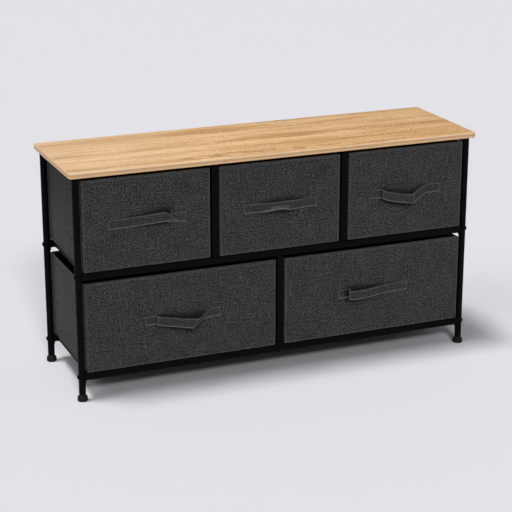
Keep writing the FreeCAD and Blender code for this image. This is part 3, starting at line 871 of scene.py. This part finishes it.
def stops_across(length, folds=()):
    """Distances over a panel, close together at its edges and near its folds."""
    near = [FRONT_ROUND * stop for stop in EDGE_STOPS]
    inner = length - 2 * near[-1]
    count = round(inner / FRONT_SPACING)
    middle = [near[-1] + inner * i / count for i in range(1, count)]
    lines = [fold + stop * FOLD_HALF for fold in folds for stop in FOLD_STOPS]
    middle = [m for m in middle if all(abs(m - line) > FOLD_CLEAR for line in lines)]
    return sorted(near + middle + lines + [length - n for n in near])


def front_surface(drawer):
    """Points, faces and cloth coordinates of one wrapped front."""
    low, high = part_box(f"{drawer}_drawer_front")
    width, thick, tall = high - low
    fold = tall - FOLD_BELOW_TOP
    xs, zs = stops_across(width), stops_across(tall, (fold,))
    points, cut = [], []
    for z in zs:
        for x in xs:
            in_x, in_z = min(x, width - x), min(z, tall - z)
            edge = min(in_x, in_z)
            # Near a corner of the panel, the square of cloth is drawn in to a round one.
            if max(in_x, in_z) < FRONT_CORNER:
                a, b = 1 - in_x / FRONT_CORNER, 1 - in_z / FRONT_CORNER
                disc_a, disc_b = a * math.sqrt(1 - b * b / 2), b * math.sqrt(1 - a * a / 2)
                edge = FRONT_CORNER * (1 - math.hypot(disc_a, disc_b))
                in_x, in_z = FRONT_CORNER * (1 - disc_a), FRONT_CORNER * (1 - disc_b)
            px = low.x + (in_x if x < width / 2 else width - in_x)
            pz = low.z + (in_z if z < tall / 2 else tall - in_z)
            back = FRONT_ROUND - math.sqrt(max(0.0, FRONT_ROUND ** 2 - max(0.0, FRONT_ROUND - edge) ** 2))
            lie = noise.noise(Vector((px, low.y, pz)) / UNEVEN_SIZE) * FRONT_UNEVEN
            groove = FOLD_GROOVE * max(0.0, 1 - abs(z - fold) / FOLD_HALF)
            proud = FOLD_PROUD * min(1.0, max(0.0, (z - fold) / FOLD_HALF))
            back += (lie + groove) * min(1.0, edge / UNEVEN_FROM_EDGE)
            back -= proud * min(1.0, edge / FRONT_ROUND)
            points.append(Vector((px, low.y + back, pz)))
            cut.append((px, pz))
    columns, rows_up = len(xs), len(zs)
    faces = [(j * columns + i, j * columns + i + 1, (j + 1) * columns + i + 1, (j + 1) * columns + i)
             for j in range(rows_up - 1) for i in range(columns - 1)]
    corners = [cut[v] for face in faces for v in face]
    border = list(range(columns))
    border += [j * columns + columns - 1 for j in range(1, rows_up)]
    border += [(rows_up - 1) * columns + i for i in range(columns - 2, -1, -1)]
    border += [j * columns for j in range(rows_up - 2, 0, -1)]
    first_back = len(points)
    middle = (low + high) / 2
    for v in border:
        points.append(Vector((points[v].x, high.y, points[v].z)))
    for k, v in enumerate(border):
        n = (k + 1) % len(border)
        faces.append((v, border[n], first_back + n, first_back + k))
        for index, depth in ((v, 0.0), (border[n], 0.0), (border[n], thick), (v, thick)):
            point = points[index]
            x, z = point.x - middle.x, point.z - middle.z
            if abs(x) / width > abs(z) / tall:
                corners.append((point.x + math.copysign(depth, x), point.z))
            else:
                corners.append((point.x, point.z + math.copysign(depth, z)))
    faces.append(tuple(range(first_back, len(points))))
    corners += [(p.x, p.z) for p in points[first_back:]]
    return points, faces, corners


front_cloth = melange("charcoal_front_cloth", slubs=1.6, long_slubs=0.35)
for drawer in DRAWERS:
    node = f"{drawer}_drawer_front"
    mesh = shaped(node, *front_surface(drawer), crease=60)
    add_piece(f"{drawer}_wrapped_front", mesh, front_cloth, f"{drawer}_drawer", "charcoal_cloth", node)
    low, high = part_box(node)
    sewn_lines[drawer].append([Vector((x, low.y - FOLD_PROUD, high.z - FOLD_BELOW_TOP + FOLD_STITCH_UP))
                               for x in (low.x + FRONT_ROUND, high.x - FRONT_ROUND)])


# Strap handles
# A flat strap of folded cloth, sewn down on the front at both ends with a crossed box of stitches.
# Its free span bows out; each one lies in its own way, folded, twisted or sagging as it was left.
# The sizes of this section are in millimetres.
STRAP_WIDTH = 22.0
STRAP_TAB = 25.0
STRAP_HALF = 90.5
STRAP_STATIONS = 200
STRAP_SECTION = [(11.0, 0.0), (10.8, 0.75), (10.1, 1.1), (9.3, 0.95), (8.5, 0.62), (6.5, 0.85), (3.0, 0.9)]
EDGE_STITCH_IN = 8.5
EDGE_STITCH_OUT = 0.75
EDGE_STITCH_START = 3
TAB_STITCH_IN = 4.2
TAB_STITCH_OUT = 2.0

# Each point of a strap's line: along the front, out from it, up, how far the lower part is turned out
# in degrees, how far the lower edge runs ahead of the upper one, and the crease above the turned part.
# The values that a point leaves off at its end are 0.
STRAP_VALUES = 6
STRAP_LINES = {
    "upper_left": [
        (-90.5, 1), (-76, 1), (-64, 1), (-46, 3, 1), (-8, 8.5, 4), (24, 14, 7.5, 0, 6), (44, 18, 9.5, 0, 13),
        (51, 19.5, 10, 0, 15), (51, 16, 9.5, 0, 15), (40, 8, 6, 0, 13), (36, 2.5, 2, 0, 9),
        (48, 1.2, 0, 0, 4), (60, 1), (74, 1), (90.5, 1)],
    "upper_middle": [
        (-90.5, 1, 0, 0, 0, -11), (-76, 1, 0, 0, 0, -11), (-62, 1, 0, 0, 0, -11), (-55, 5, 0, 25, 0, -10),
        (-38, 10, 0.5, 58, 0, -6), (-16, 12.5, 1, 70, 0, -1), (4, 13, 1.5, 62, 0, 2),
        (16, 12.5, 1.5, 25, 0, 2), (24, 11, 0.5, -8), (40, 7.5), (56, 2.5), (66, 1), (76, 1), (90.5, 1)],
    "upper_right": [
        (-90.5, 1), (-76, 1), (-65, 1), (-63, 4), (-65, 11, -1), (-52, 16, -5), (-20, 18.5, -12),
        (3, 19, -15.5), (10, 19, -16.5, 0, 1), (11, 18.5, -16.5, 0, 2), (18, 14, -13.5, 0, 3),
        (34, 7, -6.5, 0, 2), (52, 2, -0.5), (66, 1), (76, 1), (90.5, 1)],
    "lower_left": [
        (-90.5, 1), (-76, 1), (-65, 1), (-63, 4), (-63, 9, -0.5), (-50, 12, -3), (-14, 16, -9),
        (8, 19, -13, 2, -1), (24, 20, -15, 2, -6), (26, 19.5, -15, 0, -8), (36, 14, -11.5, 0, -8.5),
        (47, 7.5, -6.5, 0, -7.5), (57, 2.5, -1, 0, -5), (65, 1, 0, 0, -1), (76, 1), (90.5, 1)],
    "lower_right": [
        (-90.5, 1), (-76, 1), (-65, 1), (-60, 5), (-68, 11), (-71, 18, -0.5), (-60, 20, -1.5),
        (-30, 17.5, -2.5, 2), (0, 11.5, -1, 2), (28, 6), (50, 2.5), (66, 1), (76, 1), (90.5, 1)],
}

# How strong each painted highlight and painted shade is, and where it starts and is full.
LOWER_EDGE_HIGHLIGHT = 1.0
UPPER_EDGE_HIGHLIGHT = 0.5
EDGE_BAND = (8.4, 9.2)
END_HIGHLIGHT = 0.55
END_BAND = (2.6, 1.6)
BEND_HIGHLIGHT = 0.36
BEND_CURVE = (0.05, 0.22)
BEND_STATIONS = 2
SHORTEST_STEP = 0.1
CREASE_HIGHLIGHT = 0.75
CREASE_TURN = (12.0, 45.0)
CREASE_START = (-1.0, 0.0)
CREASE_FADE = (1.0, 5.0)
CREASE_FADED = 0.6
STRAP_SHADE = 0.85
SELF_SHADE_NEAR = 6.0
SELF_SHADE_OVER = (4.0, 14.0)
FRONT_EDGE_HIGHLIGHT = 0.2
FRONT_EDGE_BAND = (5.0, 2.0)
FRONT_SHADE = 0.85
SHADE_WITHIN = (95.0, 45.0)
SHADE_STATIONS = 3
SHADE_ASIDE = (7.0, 2.0)
SHADE_OUT = (2.0, 12.0)
SHADE_BAND = (14.5, 9.5)
SHADE_BELOW = (0.9, 0.4)
SHADE_ABOVE = (0.3, 0.0)


def smooth_line(points, count):
    """Evenly numbered points on the cubic B-spline with these control points, clamped at both ends."""
    spans = len(points) - 3
    knots = [0.0] * 4 + [float(i) for i in range(1, spans)] + [float(spans)] * 4

    def point(t):
        k = min(int(t), spans - 1) + 3
        near = [Vector(points[i]) for i in range(k - 3, k + 1)]
        for level in range(1, 4):
            for i in range(3, level - 1, -1):
                low_knot, high_knot = knots[k - 3 + i], knots[k + 1 + i - level]
                share = (t - low_knot) / (high_knot - low_knot)
                near[i] = near[i - 1].lerp(near[i], share)
        return near[3]

    return [point(spans * i / (count - 1)) for i in range(count)]


def add_painted_light(mesh, measure):
    """Writes the painted highlight and the painted shade of the cloth, from 0 to 1, at every corner of its
    faces.
    """
    mesh.uv_layers.new(name="Wear")
    cut, painted_light = (mesh.uv_layers[layer].data for layer in ("Cut", "Wear"))
    known = {}
    for corner, spot, value in zip(mesh.loops, cut, painted_light):
        where = (corner.vertex_index, round(spot.uv.x, 5), round(spot.uv.y, 5))
        if where not in known:
            known[where] = measure(mesh.vertices[corner.vertex_index].co, spot.uv)
        value.uv = known[where]


def ramp(value, start, full):
    """How far a value is from where something starts, 0, to where it is full, 1."""
    return min(1.0, max(0.0, (value - start) / (full - start)))


def strap_painted_light(line, centres, reach):
    """The painted light of a strap: painted highlights on its edges, ends, bends and creases, painted shade
    where another part of it lies in front.
    """
    bends, painted_shades = [], []
    for i, here in enumerate(centres):
        before = centres[max(i - BEND_STATIONS, 0)]
        after = centres[min(i + BEND_STATIONS, len(centres) - 1)]
        step = max((after - before).length / 2, SHORTEST_STEP)
        turning = (here - before).cross(after - here).z / step ** 3
        # Painted highlight where the strap bends sharply.
        bends.append(BEND_HIGHLIGHT * ramp(turning, *BEND_CURVE))
        # Painted shade where another part of the strap stands further out in front of this one.
        over = max(here.y - there.y for there in centres if abs(there.x - here.x) < SELF_SHADE_NEAR)
        painted_shades.append(STRAP_SHADE * ramp(over, *SELF_SHADE_OVER))

    def measure(place, cut):
        v = cut[0] / MM
        from_end = min(cut[1], reach[-1] - cut[1]) / MM
        i = min(bisect.bisect_left(reach, cut[1]), len(line) - 1)
        turn, crease = line[i][3], line[i][5]
        ridge = ramp(turn, *CREASE_TURN) * ramp(crease - v, *CREASE_START)
        ridge *= 1 - CREASE_FADED * ramp(crease - v, *CREASE_FADE)
        # Painted highlights on the lower and upper edges, the ends, the bends and the crease ridge.
        painted_highlight = max(LOWER_EDGE_HIGHLIGHT * ramp(-v, *EDGE_BAND), UPPER_EDGE_HIGHLIGHT * ramp(v, *EDGE_BAND),
                   END_HIGHLIGHT * ramp(from_end, *END_BAND), bends[i], CREASE_HIGHLIGHT * ridge)
        return painted_highlight, painted_shades[i]

    return measure


def front_painted_light(drawer, line):
    """The painted light of a front: a painted highlight along its edges, painted shade behind the strap and
    below it.
    """
    low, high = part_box(f"{drawer}_drawer_front")
    middle = (low + high) / 2

    def measure(place, cut):
        edge = min(place.x - low.x, high.x - place.x, place.z - low.z, high.z - place.z) / MM
        # Painted highlight along the front's edges.
        painted_highlight = FRONT_EDGE_HIGHLIGHT * ramp(edge, *FRONT_EDGE_BAND)
        x, z = (place.x - middle.x) / MM, (place.z - middle.z) / MM
        if abs(x) > SHADE_WITHIN[0] or abs(z) > SHADE_WITHIN[1]:
            return painted_highlight, 0.0
        # Painted shade behind and below the strap, wider the further the strap stands out.
        shade = 0.0
        for along, out, up in (p[:3] for p in line[::SHADE_STATIONS] if abs(p[0] - x) < SHADE_ASIDE[0]):
            wider = SHADE_BELOW if z < up else SHADE_ABOVE
            start, full = (reach + share * out for reach, share in zip(SHADE_BAND, wider))
            behind = ramp(abs(z - up), start, full) * ramp(out, *SHADE_OUT)
            shade = max(shade, behind * ramp(abs(along - x), *SHADE_ASIDE))
        return painted_highlight, FRONT_SHADE * shade

    return measure


def add_handle(drawer):
    """One strap, swept along its line; gives the lines of stitches along its edges and on its tabs."""
    front_low, front_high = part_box(f"{drawer}_drawer_front")
    origin = Vector(((front_low.x + front_high.x) / 2, front_low.y, (front_low.z + front_high.z) / 2))
    line = smooth_line([p + (0,) * (STRAP_VALUES - len(p)) for p in STRAP_LINES[drawer]], STRAP_STATIONS)
    centres = [Vector((p[0], -p[1], p[2])) for p in line]
    section = STRAP_SECTION + [(-v, t) for v, t in reversed(STRAP_SECTION)]
    section += [(-v, -t) for v, t in STRAP_SECTION[1:]] + [(v, -t) for v, t in reversed(STRAP_SECTION[1:])]
    rings, edge_lines = [], ([], [])
    for i, (centre, (*_, turn, ahead, crease)) in enumerate(zip(centres, line)):
        along = centres[min(i + 1, len(centres) - 1)] - centres[max(i - 1, 0)]
        outward = Vector((along.y, -along.x, 0)).normalized()
        turn = math.radians(turn)

        def spot(v, t):
            fold = min(0.0, v - crease)
            rise = v - fold + fold * math.cos(turn) + t * math.sin(turn) * (fold < 0)
            reach = -fold * math.sin(turn) + t * (math.cos(turn) if fold < 0 else 1)
            lag = ahead * v / (STRAP_WIDTH / 2)
            return origin + (centre + outward * reach + ALONG_Z * rise - ALONG_X * lag) * MM

        rings.append([spot(v, t) for v, t in section])
        for path, v in zip(edge_lines, (EDGE_STITCH_IN, -EDGE_STITCH_IN)):
            path.append(spot(v, EDGE_STITCH_OUT))
    reach = [0.0]
    for a, b in zip(centres, centres[1:]):
        reach.append(reach[-1] + (b - a).length * MM)
    around = [v * MM for v, t in section] + [section[0][0] * MM]
    node = f"{drawer}_drawer_handle"
    mesh = shaped(node, *skin(rings, across=around, along=reach), crease=70)
    # Painted highlight and painted shade, on the strap and on its front.
    add_painted_light(mesh, strap_painted_light(line, centres, reach))
    add_painted_light(bpy.data.objects[f"{drawer}_wrapped_front"].data, front_painted_light(drawer, line))
    piece = add_piece(f"{drawer}_strap_handle", mesh, strap_cloth, f"{drawer}_drawer", "charcoal_cloth",
                      node)
    paths = [path[EDGE_STITCH_START:-EDGE_STITCH_START] for path in edge_lines]
    for sign in (-1, 1):
        end = origin + Vector((sign * (STRAP_HALF - STRAP_TAB / 2), -TAB_STITCH_OUT, 0)) * MM
        x, z = STRAP_TAB / 2 - TAB_STITCH_IN, STRAP_WIDTH / 2 - TAB_STITCH_IN
        box = [end + Vector((sx * x, 0, sz * z)) * MM for sx, sz in ((-1, -1), (1, -1), (1, 1), (-1, 1))]
        paths += [[box[a], box[b]] for a, b in ((0, 1), (1, 2), (2, 3), (3, 0), (0, 2), (1, 3))]
    return paths


strap_cloth = melange("charcoal_strap_cloth", slubs=0.8, long_slubs=0.2)
for drawer in DRAWERS:
    sewn_lines[drawer] += add_handle(drawer)


# Stitches
# Twisted charcoal thread sews the hems of the bins, the folds of the fronts and the straps.
# Each stitch is a short raised drop; a row of them follows every sewn line.
STITCH = 2.6 * MM
STITCH_GAP = 0.9 * MM
THREAD = 0.55 * MM
THREAD_DARK = (0.040, 0.040, 0.042)
THREAD_PALE = (0.135, 0.135, 0.142)

thread = clouded("charcoal_thread", {"Specular IOR Level": 0.2}, THREAD_DARK, THREAD_PALE,
                 cloud=(3000.0, 1.0), rough=(0.6, 0.2), grain=(3000.0, 1.0), depth=0.05 * MM)
for drawer in DRAWERS:
    stitches = row_along(f"{drawer}_stitches", sewn_lines[drawer], STITCH, STITCH_GAP, THREAD, thread)
    add_piece(f"{drawer}_stitches", stitches, thread, f"{drawer}_drawer", "charcoal_cloth")


# Studio
# A plain pale floor, a plain pale wall far off all round, which only the camera sees, and soft lights from
# above, the left and the front. The camera looks from the front left, a little above the board.
FLOOR_HALF = 60.0
FLOOR_PALE = (0.700, 0.694, 0.728, 1.0)
WALL_AWAY = 55.0
WALL_HEIGHT = 30.0
WALL_SIDES = 48
WALL_PALE = (0.757, 0.753, 0.794, 1.0)
SURROUND_PALE = (0.93, 0.93, 0.96, 1.0)
SURROUND_STRENGTH = 0.20
CAMERA_AIM = Vector((-0.006, 0.0, 0.246))
CAMERA_AZIMUTH = math.radians(-22.4)
CAMERA_PITCH = math.radians(18.1)
CAMERA_DISTANCE = 3.80
FOCAL_PIXELS = 1588.0
FRAME_PIXELS = 512.0

# Each light: the side that it shines from, its spread in degrees and its power.
LIGHTS = {
    "top_light": ((-0.21, 0.06, 1.0), 12, 1.93),
    "left_light": ((-0.62, -0.24, 0.78), 26, 0.50),
    "front_light": ((-0.14, -0.83, 0.55), 9, 1.15),
}


def add_backdrop(name, points, faces, finish):
    """A plain sheet of the studio, which is no part of the dresser."""
    mesh = bpy.data.meshes.new(name)
    mesh.from_pydata(points, [], faces)
    mesh.materials.append(finish.material)
    backdrop = bpy.data.objects.new(name, mesh)
    bpy.context.scene.collection.objects.link(backdrop)
    return backdrop


paper = Finish("pale_floor", {"Roughness": 0.9, "Specular IOR Level": 0.1, "Base Color": FLOOR_PALE})
floor_corners = [(x * FLOOR_HALF, y * FLOOR_HALF, 0.0) for x, y in ((-1, -1), (1, -1), (1, 1), (-1, 1))]
add_backdrop("floor", floor_corners, [(0, 1, 2, 3)], paper)

glow = Finish("pale_wall", {"Base Color": (0.0, 0.0, 0.0, 1.0), "Specular IOR Level": 0.0,
                            "Emission Color": WALL_PALE, "Emission Strength": 1.0})
wall_rings = turned([(WALL_AWAY, 0.0), (WALL_AWAY, WALL_HEIGHT)], WALL_SIDES)
wall_faces = [((i + 1) % WALL_SIDES, i, i + WALL_SIDES, (i + 1) % WALL_SIDES + WALL_SIDES)
              for i in range(WALL_SIDES)]
wall = add_backdrop("far_wall", wall_rings[0] + wall_rings[1], wall_faces, glow)
wall.visible_diffuse = False
wall.visible_glossy = False
wall.visible_transmission = False
wall.visible_shadow = False

world = bpy.data.worlds.new("pale_surround")
world.use_nodes = True
world.node_tree.nodes["Background"].inputs["Color"].default_value = SURROUND_PALE
world.node_tree.nodes["Background"].inputs["Strength"].default_value = SURROUND_STRENGTH
bpy.context.scene.world = world

for name, (direction, spread, power) in LIGHTS.items():
    light = bpy.data.lights.new(name, "SUN")
    light.angle = math.radians(spread)
    light.energy = power
    lamp = bpy.data.objects.new(name, light)
    lamp.rotation_euler = Vector(direction).to_track_quat("Z", "Y").to_euler()
    bpy.context.scene.collection.objects.link(lamp)

camera = bpy.data.objects.new("camera", bpy.data.cameras.new("camera"))
toward = Vector((math.sin(CAMERA_AZIMUTH) * math.cos(CAMERA_PITCH),
                 -math.cos(CAMERA_AZIMUTH) * math.cos(CAMERA_PITCH), math.sin(CAMERA_PITCH)))
camera.location = CAMERA_AIM + toward * CAMERA_DISTANCE
camera.rotation_euler = (-toward).to_track_quat("-Z", "Y").to_euler()
camera.data.lens = camera.data.sensor_width * FOCAL_PIXELS / FRAME_PIXELS
bpy.context.scene.collection.objects.link(camera)
bpy.context.scene.camera = camera
bpy.context.scene.view_settings.view_transform = "Standard"
